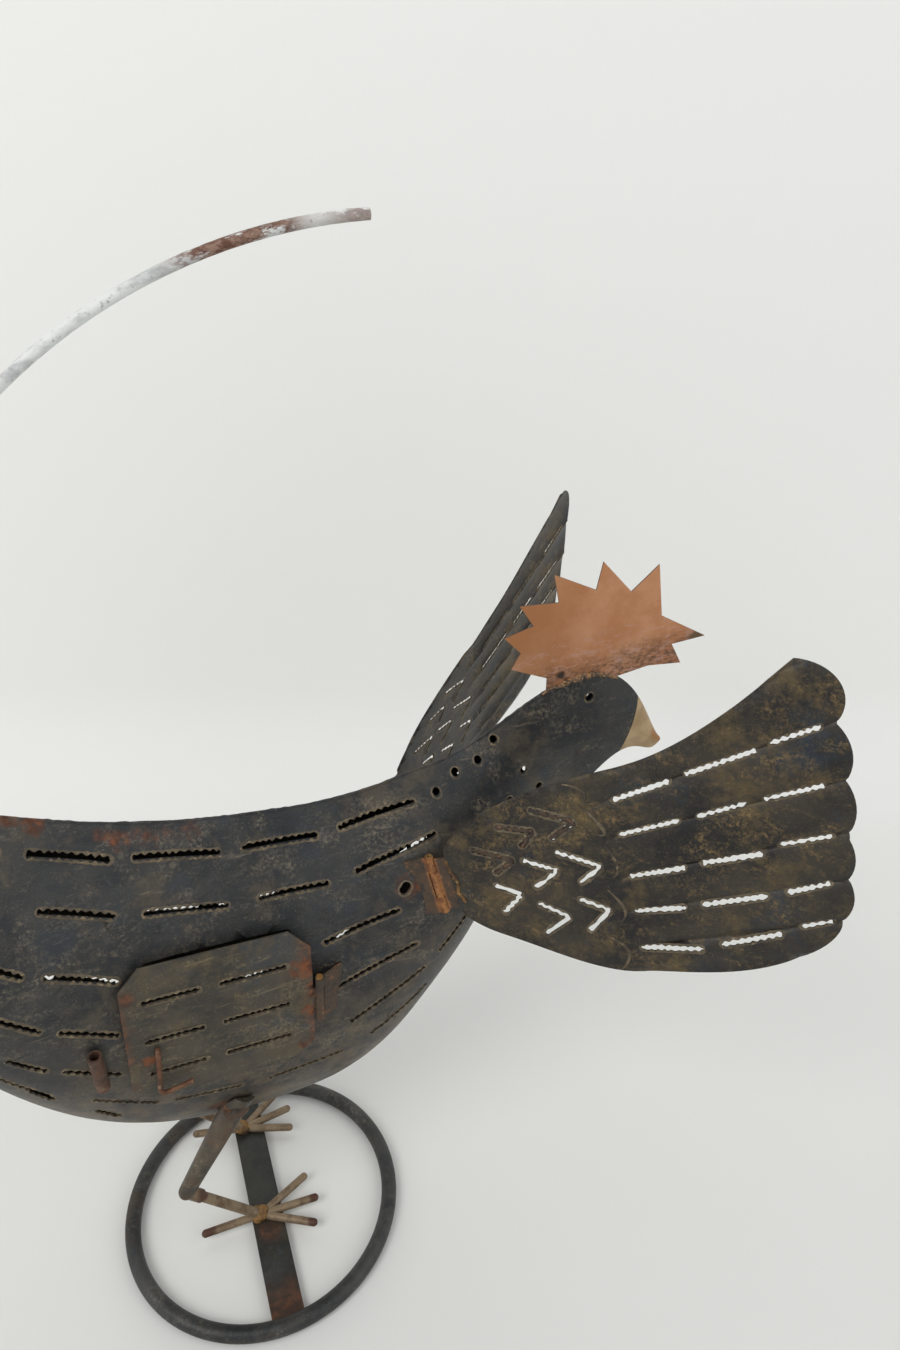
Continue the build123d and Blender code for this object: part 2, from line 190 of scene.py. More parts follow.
def aged_steel(
    name, dark, mid, light, rust_share=0.0, shift=0.0, spots=(), blue=None, brown=None, edges=None, low=None
):
    """Blackened sheet steel with heat tints, rubbed patches, scratches, rust and dents; a low colour, when
    given, is painted bounce light from the floor on the belly.
    """
    s = Shader(name)
    clouds = s.noise(16, 8, 0.70, shift=shift, warp=0.4)
    mottle = s.noise(60, 8, 0.75, shift=shift + 3)
    fine = s.noise(380, 5, 0.75, shift=shift)
    rubbed = s.noise(30, 9, 0.78, stretch=(0.7, 1, 1.5), shift=shift + 8, warp=0.8)
    scratches = s.noise(160, 4, 0.65, stretch=(0.12, 1, 1.6), shift=shift)
    colour = s.mix(s.band(clouds, 0.36, 0.64), dark, mid)
    colour = s.mix(s.math("MULTIPLY", s.band(mottle, 0.48, 0.70), 0.55), colour, mid)
    if blue:
        tint = s.band(s.noise(22, 8, 0.72, shift=shift + 20), 0.52, 0.66)
        colour = s.mix(s.math("MULTIPLY", tint, 0.7), colour, blue)
    if brown:
        tint = s.band(s.noise(20, 9, 0.76, shift=shift + 31), 0.50, 0.64)
        colour = s.mix(s.math("MULTIPLY", tint, 0.75), colour, brown)
    # painted light: the low colour lightens and warms the belly, standing in for light bounced up from the
    # pale floor
    if low:
        height = s.math("SUBTRACT", s.axis((0, 0, 1)), s.math("MULTIPLY", clouds, 0.12))
        belly_bounce_light = s.band(height, 0.27, 0.08)
        share = s.math("MULTIPLY", belly_bounce_light, s.band(s.noise(42, 9, 0.80, shift=61), 0.40, 0.60))
        colour = s.mix(s.math("MULTIPLY", share, 0.75), colour, low)
    worn = s.math("MULTIPLY", s.band(rubbed, 0.47, 0.68), s.band(fine, 0.44, 0.62))
    colour = s.mix(s.math("MULTIPLY", worn, 0.75), colour, light)
    grains = s.band(s.noise(900, 4, 0.8, shift=shift), 0.54, 0.66)
    grit = s.math("MULTIPLY", grains, s.band(mottle, 0.42, 0.60))
    colour = s.mix(s.math("MULTIPLY", grit, 0.45), colour, light)
    colour = s.mix(s.math("MULTIPLY", s.band(scratches, 0.62, 0.74), 0.35), colour, light)
    specks = s.band(s.cells(150, shift), 0.055, 0.02)
    specks = s.math("MULTIPLY", specks, s.band(s.noise(9, shift=shift + 5), 0.52, 0.62))
    colour = s.mix(specks, colour, linear(150, 146, 136))
    rust = s.math("MULTIPLY", s.band(s.noise(26, 7, 0.7, shift=shift + 12), 0.60, 0.70), rust_share)
    for number, (centre, radius) in enumerate(spots):
        rust = s.math("ADD", rust, s.near([v * MM for v in centre], radius * MM, shift=number))
    rust_colour = s.mix(s.band(s.noise(120, 5, shift=shift), 0.40, 0.62), DEEP_RUST, RUST)
    broken = s.math("MULTIPLY", rust, s.band(s.noise(95, 6, 0.72, shift=shift + 2), 0.36, 0.58))
    colour = s.mix(broken, colour, rust_colour)
    if edges:
        colour = s.mix(s.math("MULTIPLY", edges(s), 0.85), colour, rust_colour)
    dents = s.bump(s.noise(40, 2, 0.4, shift=shift), 0.35, 0.0012)
    grain = s.bump(s.noise(230, 6, 0.7, shift=shift), 0.30, 0.0004, dents)
    rough = s.math("ADD", s.math("MULTIPLY", mottle, 0.25), s.math("MULTIPLY", broken, 0.25))
    rough = s.math("ADD", rough, 0.36)
    return s.finish(colour, rough, 0.30, s.bump(scratches, 0.12, 0.0002, grain), 0.4)


def brazed_metal(name, dark, mid, bright, lumps=0.5, shift=0.0, tips=()):
    """Flowed bronze and brass, tan and brown."""
    s = Shader(name)
    clouds = s.noise(70, 6, 0.65, shift=shift)
    flow = s.noise(220, 5, 0.7, shift=shift + 4)
    colour = s.mix(s.band(clouds, 0.34, 0.58), dark, mid)
    colour = s.mix(s.math("MULTIPLY", s.band(flow, 0.52, 0.72), 0.8), colour, bright)
    for number, (centre, radius) in enumerate(tips):
        colour = s.mix(s.near([v * MM for v in centre], radius * MM, 0.4, number), colour, DEEP_RUST)
    rough = s.math("ADD", s.math("MULTIPLY", flow, 0.3), 0.38)
    ripples = s.bump(flow, lumps, 0.0006)
    return s.finish(colour, rough, 0.35, s.bump(s.noise(800, 3), 0.2, 0.0002, ripples), 0.5)


def rusty(name, dark, mid, bright, shift=0.0, metallic=0.1, spots=()):
    """Scaly rust in two browns with brighter patches."""
    s = Shader(name)
    patch = s.noise(90, 6, 0.7, shift=shift)
    colour = s.mix(s.band(patch, 0.36, 0.56), dark, mid)
    colour = s.mix(s.band(s.noise(160, 5, 0.7, shift=shift + 6), 0.54, 0.68), colour, bright)
    for number, centre in enumerate(spots):
        flecks = s.band(s.noise(210, 6, 0.75, shift=shift + 9), 0.42, 0.60)
        warm = s.mix(flecks, linear(112, 70, 44), linear(152, 104, 60))
        colour = s.mix(s.near(centre, 0.0065, 0.35, 3), colour, warm)
    scale = s.bump(s.noise(300, 6, 0.75, shift=shift), 0.7, 0.0006)
    return s.finish(colour, s.math("ADD", s.math("MULTIPLY", patch, 0.3), 0.5), metallic, scale, 0.4)


FLANK_RUST = (
    ((-113, 26, 430), 8), ((-100, 22, 424), 9), ((-62, 16, 410), 9), ((-50, 14, 406), 12),
    ((-36, 10, 402), 14), ((-20, 12, 400), 12), ((-6, 16, 397), 10), ((88, 16, 392), 6),
    ((132, -20, 334), 12), ((0, 4, 112), 20), ((-40, 2, 116), 18), ((-18, -16, 160), 14),
)
flank_steel = aged_steel(
    "flank_steel", linear(36, 38, 41), linear(58, 58, 57), linear(132, 122, 104),
    rust_share=0.25, spots=FLANK_RUST, blue=linear(50, 55, 61), brown=linear(80, 72, 60),
    # low: painted bounce light from the floor, warming the lower belly
    low=linear(110, 96, 76),
)
wing_steel = aged_steel(
    "wing_steel", linear(30, 30, 31), linear(58, 53, 46), linear(140, 116, 76), rust_share=0.12, shift=40.0,
    blue=linear(42, 52, 62), brown=linear(92, 78, 52),
)


def door_edges(s):
    """Rust along the rear and front edges of the door."""
    rear = s.band(s.axis((1, 0, 0)), -0.066, -0.075)
    front = s.band(s.axis((1, 0, 0)), 0.043, 0.054)
    ragged = s.band(s.noise(60, 6, 0.7, shift=9), 0.40, 0.60)
    return s.math("MULTIPLY", s.math("ADD", rear, front), ragged)


door_steel = aged_steel(
    "door_steel", linear(54, 52, 48), linear(78, 71, 60), linear(136, 122, 94), rust_share=0.2, shift=70.0,
    spots=(
        ((-66, -44, 318), 10), ((48, -38, 300), 12), ((50, -38, 262), 8), ((46, -40, 228), 9),
        ((-60, -44, 262), 6),
    ),
    blue=linear(60, 64, 68), brown=linear(92, 80, 58), edges=door_edges,
)
black_iron = aged_steel(
    "black_iron", linear(38, 40, 42), linear(68, 68, 66), linear(112, 106, 96), rust_share=0.3, shift=110.0,
    blue=linear(54, 60, 66), brown=linear(66, 57, 48),
)
leg_steel = aged_steel(
    "leg_steel", linear(60, 57, 53), linear(98, 88, 74), linear(146, 130, 106), rust_share=0.25, shift=150.0,
    brown=linear(92, 70, 52),
)


def bar_bands(s):
    """Brown heat marks at the near end of the bar and beside the right foot."""
    along = s.math("ADD", s.axis((0, -1, 0)), s.math("MULTIPLY", s.noise(60, 6, 0.7, shift=4), 0.02))
    near_end = s.math("MULTIPLY", s.band(along, 0.070, 0.115), 0.7)
    beside = s.math("MULTIPLY", s.near((0, -0.033, 0.0064), 0.012, 0.4), 0.5)
    return s.math("ADD", near_end, beside)


bar_iron = aged_steel(
    "bar_iron", linear(42, 43, 42), linear(62, 62, 57), linear(92, 86, 76), rust_share=0.1, shift=117.0,
    blue=linear(62, 68, 72), brown=linear(64, 55, 44), edges=bar_bands,
)
bronzed_rod = brazed_metal(
    "bronzed_rod", linear(96, 76, 56), linear(134, 116, 92), linear(160, 140, 114), 0.35,
    tips=(
        ((-48, -16, 10), 9), ((40, -18, 10), 6), ((35, -38, 10), 7), ((-50, -16, 62), 9), ((-50, 68, 62), 9),
    ),
)
braze = brazed_metal("braze", linear(74, 54, 36), linear(138, 102, 56), linear(186, 148, 88), 0.8, 12.0)
slag = brazed_metal("slag", linear(64, 57, 48), linear(98, 87, 69), linear(158, 140, 110), 0.6, 20.0)
barrels = [
    (0.1516 - 0.00171 * z / 2, -0.0278 + 0.0034 * z / 2, 0.3368 + 0.00925 * z / 2) for z in range(-4, 5)
]
hinge_steel = rusty(
    "hinge_steel", linear(50, 45, 40), linear(78, 62, 48), linear(124, 84, 54), spots=barrels
)
burnt_slag = rusty("burnt_slag", linear(44, 38, 34), linear(74, 60, 48), linear(120, 88, 62), 30.0)
rusty_weld = rusty("rusty_weld", linear(60, 52, 45), linear(84, 64, 48), linear(112, 74, 50), 4.0)
rusty_tube = rusty("rusty_tube", linear(62, 46, 38), linear(86, 60, 46), linear(112, 88, 72), 8.0)
handle_wire = rusty("handle_wire", linear(74, 50, 38), linear(104, 70, 50), linear(142, 112, 86), 12.0, 0.3)
pin_steel = rusty("pin_steel", linear(92, 62, 40), linear(142, 104, 60), linear(172, 146, 96), 15.0, 0.5)


def copper_material():
    s = Shader("copper_sheet")
    clouds = s.noise(22, 5, 0.6, shift=5)
    mottle = s.noise(90, 6, 0.7, shift=9)
    colour = s.mix(s.band(clouds, 0.35, 0.65), linear(184, 124, 82), linear(202, 148, 110))
    colour = s.mix(s.math("MULTIPLY", s.band(mottle, 0.50, 0.72), 0.5), colour, linear(178, 122, 84))
    rear = s.band(s.axis((1, 0, 0)), 0.300, 0.235)
    colour = s.mix(s.math("MULTIPLY", rear, 0.55), colour, linear(164, 112, 70))
    low = s.math("ADD", s.axis((-0.10, 0, 1)), s.math("MULTIPLY", s.noise(40, 8, 0.75, shift=3), 0.030))
    foot = s.band(low, 0.462, 0.438)
    grime = s.math("MULTIPLY", foot, s.band(s.noise(420, 8, 0.8, stretch=(0.5, 1, 1)), 0.42, 0.58))
    colour = s.mix(s.math("MULTIPLY", foot, 0.35), colour, linear(128, 88, 64))
    colour = s.mix(s.math("MULTIPLY", grime, 0.85), colour, linear(92, 68, 54))
    lower = s.band(low, 0.474, 0.466)
    pale = s.math("MULTIPLY", lower, s.band(s.noise(190, 8, 0.8, (0.4, 1, 1), 7), 0.50, 0.60))
    colour = s.mix(s.math("MULTIPLY", pale, 0.5), colour, linear(196, 156, 140))
    crack = s.near((0.268, 0.0255, 0.4565), 0.0045, 0.5, 2)
    colour = s.mix(crack, colour, linear(58, 44, 38))
    colour = s.mix(s.near((0.382, 0.0255, 0.467), 0.009, 0.4), colour, linear(104, 80, 56))
    specks = s.band(s.cells(260, 3.0), 0.10, 0.04)
    specks = s.math("MULTIPLY", specks, s.band(s.noise(30, shift=14), 0.50, 0.66))
    colour = s.mix(s.math("MULTIPLY", specks, 0.8), colour, linear(86, 58, 44))
    split = s.tree.nodes.new("ShaderNodeSeparateXYZ")
    s.put(split.inputs[0], s.facing)
    edge = s.band(s.math("ABSOLUTE", split.outputs[1]), 0.7, 0.3)
    colour = s.mix(edge, colour, linear(96, 66, 50))
    waves = s.bump(s.noise(24, 2, 0.4), 0.5, 0.002)
    rough = s.math("ADD", s.math("MULTIPLY", mottle, 0.3), 0.34)
    return s.finish(colour, rough, 0.45, s.bump(s.noise(260, 6, 0.7), 0.25, 0.0004, waves), 0.5)


def beak_material():
    s = Shader("brazed_brass")
    clouds = s.noise(60, 5, 0.6, shift=2)
    colour = s.mix(s.band(clouds, 0.36, 0.62), linear(160, 134, 98), linear(184, 158, 122))
    tip = s.math("MULTIPLY", s.near((0.359, 0.024, 0.386), 0.010, 0.6), 0.8)
    colour = s.mix(tip, colour, linear(158, 108, 60))
    seam = s.band(s.axis((0.974, 0, -0.227)), 0.2325, 0.2300)
    colour = s.mix(s.math("MULTIPLY", seam, 0.8), colour, linear(96, 84, 64))
    specks = s.band(s.cells(420, 7.0), 0.12, 0.05)
    colour = s.mix(s.math("MULTIPLY", specks, 0.5), colour, linear(120, 96, 66))
    normal = s.bump(s.noise(180, 5, 0.6), 0.3, 0.0004)
    return s.finish(colour, 0.42, 0.4, normal, 0.5)


def crown_material():
    s = Shader("crown_braze")
    speck = s.noise(620, 4, 0.7, stretch=(0.6, 1, 1))
    colour = s.mix(s.band(s.noise(150, 5, 0.7), 0.40, 0.56), linear(58, 54, 50), linear(118, 92, 70))
    colour = s.mix(s.band(speck, 0.50, 0.60), colour, linear(172, 130, 84))
    return s.finish(colour, 0.5, 0.3, s.bump(speck, 0.9, 0.0006), 0.5)


def paint_material():
    s = Shader("worn_paint")
    streak = s.noise(90, 6, 0.7, stretch=(0.22, 1, 0.5))
    fleck = s.noise(420, 5, 0.7, stretch=(0.5, 1, 0.8))
    colour = s.mix(s.band(streak, 0.46, 0.66), linear(222, 223, 221), linear(176, 178, 178))
    colour = s.mix(s.math("MULTIPLY", s.band(fleck, 0.56, 0.68), 0.7), colour, linear(138, 138, 136))
    along = s.axis((1, 0, 0))
    brown_part = s.math("MULTIPLY", s.band(along, 0.018, 0.044), s.band(along, 0.110, 0.088))
    tip_part = s.math("MULTIPLY", s.band(along, 0.096, 0.130), 0.75)
    worn = s.math("ADD", brown_part, tip_part)
    bare = s.math("MULTIPLY", worn, s.band(s.noise(130, 6, 0.75, (0.3, 1, 0.6)), 0.43, 0.52))
    bare_colour = s.mix(s.band(fleck, 0.42, 0.60), linear(96, 62, 48), linear(140, 112, 96))
    colour = s.mix(bare, colour, bare_colour)
    flake = s.bump(s.math("SUBTRACT", 1.0, bare), 0.5, 0.0003)
    return s.finish(colour, 0.5, 0.0, s.bump(fleck, 0.3, 0.0003, flake), 0.4)


copper_sheet = copper_material()
brazed_brass = beak_material()
crown_braze = crown_material()
worn_paint = paint_material()

# ---------------------------------------------------------------- mesh helpers


def add_piece(name, mesh, material, body, replaced=()):
    """Makes an object of a mesh, smooth shaded with crisp edges, that rides on a body."""
    obj = bpy.data.objects.new(name, mesh)
    bpy.context.scene.collection.objects.link(obj)
    mesh.materials.clear()
    mesh.materials.append(material)
    mesh.polygons.foreach_set("use_smooth", [True] * len(mesh.polygons))
    mesh.set_sharp_from_angle(angle=CREASE_ANGLE)
    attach(obj, body)
    if replaced:
        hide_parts(*replaced)
    return obj


def mesh_of(name, vertices, faces):
    mesh = bpy.data.meshes.new(name)
    mesh.from_pydata(vertices, [], faces)
    mesh.update()
    return mesh


def mirror_mesh(mesh, name):
    """Copies a mesh to the other side of the middle plane."""
    copy = mesh.copy()
    copy.name = name
    copy.transform(Matrix.Translation((0, 2 * MIDDLE_Y, 0)) @ Matrix.Diagonal((1, -1, 1, 1)))
    copy.flip_normals()
    return copy


def cut_fine(node, planes):
    """Copies a CAD node's mesh, welds it and cuts it along planes so that it can take dents."""
    bm = bmesh.new()
    bm.from_mesh(nodes[node].data)
    bmesh.ops.remove_doubles(bm, verts=bm.verts, dist=WELD_GAP)
    for point, direction in planes:
        everything = bm.verts[:] + bm.edges[:] + bm.faces[:]
        bmesh.ops.bisect_plane(bm, geom=everything, plane_co=point, plane_no=direction)
    bm.normal_update()
    return bm


def slot_loops(bm, cut, side, longest):
    """Finds the rim of every slot and hole on one face of a sheet that was cut straight through."""
    around = {}
    for edge in bm.edges:
        if len(edge.link_faces) != 2:
            continue
        wall = [face for face in edge.link_faces if abs(face.normal.dot(cut)) < 0.12]
        skin = [face for face in edge.link_faces if face.normal.dot(side) > 0.2]
        if len(wall) == 1 and len(skin) == 1:
            for vert in edge.verts:
                around.setdefault(vert, []).append((edge.other_vert(vert), skin[0].normal.copy()))
    loops = []
    seen = set()
    for start in around:
        if start in seen:
            continue
        loop = []
        here = start
        while here is not None and here not in seen:
            seen.add(here)
            loop.append((here, around[here][0][1]))
            here = next((other for other, _ in around[here] if other not in seen), None)
        span = max((a.co - start.co).length for a, _ in loop)
        closed = any(other is start for other, _ in around[loop[-1][0]])
        if closed and len(loop) > 7 and span < longest:
            turn = sum((loop[i - 1][0].co.cross(loop[i][0].co) for i in range(len(loop))), Vector())
            if turn.dot(side) < 0:
                loop.reverse()
            loops.append(loop)
    return loops


def widen(loops, amount):
    """Opens every slot a little, as the flame does."""
    for loop in loops:
        moves = []
        for number, (vert, normal) in enumerate(loop):
            ahead = loop[(number + 1) % len(loop)][0].co - loop[number - 1][0].co
            moves.append(normal.cross(ahead).normalized() * amount)
        for (vert, _), move in zip(loop, moves):
            vert.co -= move


def rim_profile(bead, depth):
    """Rows of a rim, each the share of the way in to the ripple, a set-back and a height, in millimetres."""
    crest = ((0.0, -1.3, -0.06), (0.1, -0.75, 0.16 * bead), (0.3, -0.2, 0.30 * bead))
    return (*crest, (0.8, 0.0, 0.12), (1.0, 0.0, -0.3), (0.9, -0.1, -depth))


def ripple_rims(name, loops, ripple, period, bead=1.0, depth=1.2):
    """Makes the melted, rippled edge of torch-cut slots."""
    vertices = []
    faces = []
    for loop in loops:
        points = [vert.co.copy() for vert, _ in loop]
        normals = [normal for _, normal in loop]
        lengths = [(points[(i + 1) % len(points)] - points[i]).length for i in range(len(points))]
        total = sum(lengths)
        count = max(14, int(total / RIM_STEP))
        middle = sum(points, Vector()) / len(points)
        far = max(points, key=lambda p: (p - middle).length)
        long_way = (far - middle).normalized()
        reach = 0.3 * MM if total < ROUND_HOLE_RIM else ripple
        step = total / count
        samples = []
        index, passed = 0, 0.0
        for number in range(count):
            target = number * step
            while passed + lengths[index] < target and index < len(lengths) - 1:
                passed += lengths[index]
                index += 1
            share = (target - passed) / max(lengths[index], 1e-9)
            after = (index + 1) % len(points)
            normal = normals[index].lerp(normals[after], share).normalized()
            samples.append((points[index].lerp(points[after], share), normal))
        base = len(vertices)
        rows = rim_profile(bead, depth)
        for number, (point, normal) in enumerate(samples):
            tangent = samples[(number + 1) % count][0] - samples[number - 1][0]
            inward = normal.cross(tangent).normalized()
            phase = tau * (point - middle).dot(long_way) / period + 3.2 * noise.noise(point * 70)
            wander = noise.noise(point * 420)
            uneven = 1 + 0.7 * noise.noise(point * 130)
            bite = reach * (0.5 + 0.5 * cos(phase)) * uneven + 0.3 * MM * wander
            for share, back, height in rows:
                swell = 1 + 0.5 * wander
                shift = share * bite + back * MM * swell
                lift = height * MM * (swell if height > 0 else 1)
                vertices.append(point + inward * shift + normal * lift)
        size = len(rows)
        for number in range(count):
            after = (number + 1) % count
            for row in range(size - 1):
                a = base + number * size + row
                b = base + after * size + row
                faces.append((a, b, b + 1, a + 1))
    return mesh_of(name, vertices, faces)


def bead_mesh(name, runs, sides=8, lump=0.3, flat=1.0):
    """Makes lumpy beads along lines. Each run is a list of points with a radius each."""
    vertices = []
    faces = []
    for run in runs:
        base = len(vertices)
        side = Vector((0, 0, 1))
        for number, (point, radius) in enumerate(run):
            ahead = run[min(number + 1, len(run) - 1)][0] - run[max(number - 1, 0)][0]
            ahead.normalize()
            side = (side - ahead * side.dot(ahead)).normalized()
            across = ahead.cross(side)
            for corner in range(sides):
                angle = tau * corner / sides
                way = side * cos(angle) * flat + across * sin(angle)
                swell = 1 + lump * noise.noise((point + way * radius) * 330)
                vertices.append(point + way * radius * swell)
        for number in range(len(run) - 1):
            for corner in range(sides):
                a = base + number * sides + corner
                b = base + number * sides + (corner + 1) % sides
                faces.append((a, a + sides, b + sides, b))
        faces.append(tuple(base + corner for corner in range(sides)))
        end = base + (len(run) - 1) * sides
        faces.append(tuple(end + corner for corner in reversed(range(sides))))
    return mesh_of(name, vertices, faces)


# ---------------------------------------------------------------- flanks

for node, side in (("right_flank", -1.0), ("left_flank", 1.0)):
    planes = [(Vector((x * MM, 0, 0)), Vector((1, 0, 0))) for x in range(-270, 330, 15)]
    planes += [(Vector((0, 0, z * MM)), Vector((0, 0, 1))) for z in range(110, 510, 15)]
    bm = cut_fine(node, planes)
    for vert in bm.verts:
        out = abs(vert.co.y - MIDDLE_Y)
        hold = min(1.0, out / 0.012)
        dent = 0.5 + 0.5 * noise.noise(vert.co * 17 + Vector((side, 0, 0)))
        fine = 0.5 + 0.5 * noise.noise(vert.co * 48)
        vert.co.y -= side * hold * (1.1 * dent + 0.3 * fine) * MM
    bm.normal_update()
    loops = slot_loops(bm, Vector((0, 1, 0)), Vector((0, side, 0)), 0.075)
    widen(loops, 0.5 * MM)
    rims = ripple_rims(node + "_rims", loops, 1.5 * MM, 5.2 * MM)
    mesh = bpy.data.meshes.new(node + "_sheet")
    bm.to_mesh(mesh)
    bm.free()
    add_piece(node + "_sheet", mesh, flank_steel, BODY, (node,))
    add_piece(node + "_rims", rims, slag, BODY)

flank_mesh = nodes["right_flank"].data
tree = BVHTree.FromPolygons(
    [vert.co for vert in flank_mesh.vertices], [face.vertices for face in flank_mesh.polygons]
)


def seam_run(xs, start_z, way, radius):
    """Follows the meeting line of the flanks with a bead."""
    run = []
    for x in xs:
        hit = tree.ray_cast(Vector((x, MIDDLE_Y - BESIDE_SEAM, start_z)), Vector((0, 0, way)))[0]
        if hit is not None:
            swell = 0.8 + 0.4 * noise.noise(hit * 40)
            run.append((Vector((x, MIDDLE_Y, hit.z + way * 0.3 * MM)), radius * swell))
    return run


ridge_xs = [-0.278 + 0.003 * i for i in range(178)]
keel_xs = [-0.236 + 0.003 * i for i in range(176)]
ridge = bead_mesh("ridge_weld", [seam_run(ridge_xs, ABOVE_ALL, -1, 1.5 * MM)], lump=0.45)
keel = bead_mesh("keel_weld", [seam_run(keel_xs, 0.0, 1, 1.3 * MM)], lump=0.45)
add_piece("ridge_weld", ridge, flank_steel, BODY)
add_piece("keel_weld", keel, flank_steel, BODY)

# ---------------------------------------------------------------- wings

wing_origin = Vector((0.1516, -0.0278, 0.3368))
wing_x = Vector((0.774, -0.535, 0.340)).normalized()
wing_z = wing_x.cross(Vector((-0.171, 0.340, 0.925))).normalized()
wing_y = wing_z.cross(wing_x)
# feather creases and the two edges: height at the root end and at the tip end of the feathers
creases = ((68, 119), (44.5, 75), (19, 37), (-11, 3), (-37, -29), (-64.5, -57), (-84, -80))


def wing_point(x, y, z=0.0):
    return wing_origin + (wing_x * x + wing_y * y + wing_z * z) * MM


def wing_dish(x, y):
    """Depth in millimetres of the hammered feathers: full between the creases, low along them."""
    share = (x - 132) / 150
    lines = [root + (tip - root) * share for root, tip in creases]
    swell = 0.0
    for upper, lower in zip(lines, lines[1:]):
        if lower <= y <= upper:
            swell = sin(pi * (upper - y) / (upper - lower)) ** 0.6
    fade = min(1.0, max(0.0, (x - 112) / 26))
    root_dish = 0.5 + 0.5 * cos(pi * min(1.0, abs(x - 70) / 60)) * cos(pi * min(0.5, abs(y) / 90))
    return -3.4 * (1 - swell) * fade - 1.2 * (1 - root_dish) * (1 - fade)


planes = [(wing_point(x, 0), wing_x) for x in range(16, 286, 6)]
planes += [(wing_point(0, y), wing_y) for y in range(-84, 116, 7)]
for root, tip in creases[1:-1]:
    crease_normal = (wing_y * 150 - wing_x * (tip - root)).normalized()
    planes += [(wing_point(132, root + gap), crease_normal) for gap in (-5.0, -2.0, 0.0, 2.0, 5.0)]
bm = cut_fine("right_wing", planes)
front_loops = slot_loops(bm, wing_z, wing_z, 0.06)
back_loops = slot_loops(bm, wing_z, -wing_z, 0.06)
widen(front_loops, 0.45 * MM)
widen(back_loops, 0.45 * MM)
for vert in bm.verts:
    local = (vert.co - wing_origin) / MM
    x, y = local.dot(wing_x), local.dot(wing_y)
    wobble = 0.5 * noise.noise(vert.co * 30) - 0.5
    drop = (wing_dish(x, y) + 0.4 * wobble) * min(1.0, max(0.0, (x - 12) / 12))
    vert.co += (wing_z * drop + wing_x * drop * 0.8 * min(1.0, max(0.0, (x - 225) / 40))) * MM
bm.normal_update()
front_rims = ripple_rims("right_wing_rims", front_loops, 1.25 * MM, 5.0 * MM, 0.9, 0.65)
back_rims = ripple_rims("right_wing_back_rims", back_loops, 1.25 * MM, 5.0 * MM, 0.9, 0.65)
wing_mesh = bpy.data.meshes.new("right_wing_sheet")
bm.to_mesh(wing_mesh)
bm.free()



def arc_at(start, crest, end, t):
    """A point of the parabola that starts, peaks and ends at three given points."""
    bend = [2 * c - (a + b) / 2 for a, c, b in zip(start, crest, end)]
    return [(1 - t) ** 2 * a + 2 * t * (1 - t) * m + t**2 * b for a, m, b in zip(start, bend, end)]


# raised crescent beads on the feather scales; their pale slag colour is a painted highlight, standing in for
# the light lines these ridges catch
arcs = (
    ((116, 46), (128, 27), (124, 22)), ((126, 14), (131, -2), (125, -10)),
    ((120, -18), (128, -34), (123, -43)), ((113, -54), (123, -67), (115, -80)),
    ((109, 62), (121, 55), (119, 45)),
)
crease_runs = []
for start, crest, end in arcs:
    run = []
    for step in range(17):
        t = step / 16
        x, y = arc_at(start, crest, end, t)
        run.append((wing_point(x, y, wing_dish(x, y) + 0.35), (0.3 + 0.7 * sin(pi * t)) * 1.4 * MM))
    crease_runs.append(run)
crease_highlight_beads = bead_mesh("right_wing_creases", crease_runs, lump=0.15)
weld_points = ((12, 18), (13, 8), (16, 0), (14, -8), (18, -18))
weld_run = [(wing_point(x, y, 0.3), 1.3 * MM) for x, y in weld_points]
fine_run = []
for (first, radius), (last, _) in zip(weld_run, weld_run[1:]):
    fine_run += [(first.lerp(last, step / 6), radius) for step in range(6)]
root_weld = bead_mesh("right_wing_weld", [fine_run], lump=0.9)

# the crease beads take the slag material as a painted highlight
wing_pieces = (
    (wing_mesh, "sheet", wing_steel, "wing_steel", True), (front_rims, "rims", slag, "wing_steel", False),
    (back_rims, "back_rims", slag, "wing_steel", False), (crease_highlight_beads, "creases", slag, "wing_steel", False),
    (root_weld, "root_weld", braze, "hinge_steel", False),
)
for mesh, part, material, slot, stands_in in wing_pieces:
    other = mirror_mesh(mesh, "left_wing_" + part)
    add_piece("right_wing_" + part, mesh, material, "right_wing", ("right_wing",) if stands_in else ())
    add_piece("left_wing_" + part, other, material, "left_wing", ("left_wing",) if stands_in else ())

# slag still closes three chevrons of the right wing: the tip and the two ends of each
chevrons = (
    ((110, 34), (82, 47), (91, 24)), ((81, 31), (55, 38), (69, 21)), ((61, 12), (33, 23), (45, 3)),
)
slag_runs = []
for tip, upper_end, lower_end in chevrons:
    for end in (upper_end, lower_end):
        first = wing_point(end[0], end[1], wing_dish(*end) - 0.5)
        last = wing_point(tip[0], tip[1], wing_dish(*tip) - 0.5)
        run = []
        for step in range(25):
            radius = (1.7 + 0.5 * noise.noise(first * 90 + Vector((step, 0, 0)))) * MM
            run.append((first.lerp(last, step / 24), radius))
        slag_runs.append(run)
slag_mesh = bead_mesh("right_wing_slag", slag_runs, sides=10, lump=0.8)
add_piece("right_wing_slag", slag_mesh, burnt_slag, "right_wing")

# ---------------------------------------------------------------- door

